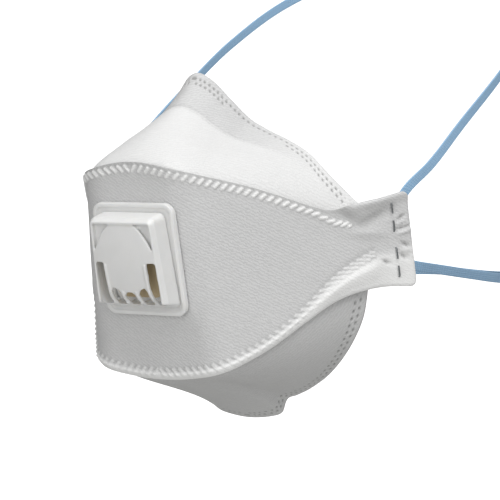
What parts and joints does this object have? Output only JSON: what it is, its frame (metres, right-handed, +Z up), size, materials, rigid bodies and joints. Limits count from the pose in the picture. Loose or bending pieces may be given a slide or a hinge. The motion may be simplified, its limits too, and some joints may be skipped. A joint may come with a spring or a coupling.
{
  "type": "valved respirator mask",
  "caption": "Flat-fold respirator mask of bent cloth panels with a box-shaped exhalation valve, side tabs and elastic head straps stapled behind the tabs.",
  "frame": {"origin": "middle of the face opening, where the mask sits on the face", "axes": "+Z up, -Y the way the mask faces, +X the wearer's left"},
  "size_m": [0.1434, 0.249, 0.1887],
  "materials": {
    "panel_cloth": "matt embossed non-woven polypropylene",
    "strap_elastic": "ribbed woven elastic",
    "valve_plastic": "satin moulded polypropylene",
    "flap_rubber": "smooth matt",
    "staple_steel": "drawn wire"
  },
  "bodies": {
    "root": {"centre_panel": "panel_cloth", "top_panel": "panel_cloth", "bottom_panel": "panel_cloth", "upper_strap": "strap_elastic", "lower_strap": "strap_elastic", "valve_base": "valve_plastic", "valve_cover": "valve_plastic", "valve_flap": "flap_rubber", "left_upper_staple": "staple_steel", "left_lower_staple": "staple_steel", "right_upper_staple": "staple_steel", "right_lower_staple": "staple_steel"}
  },
  "joints": []
}
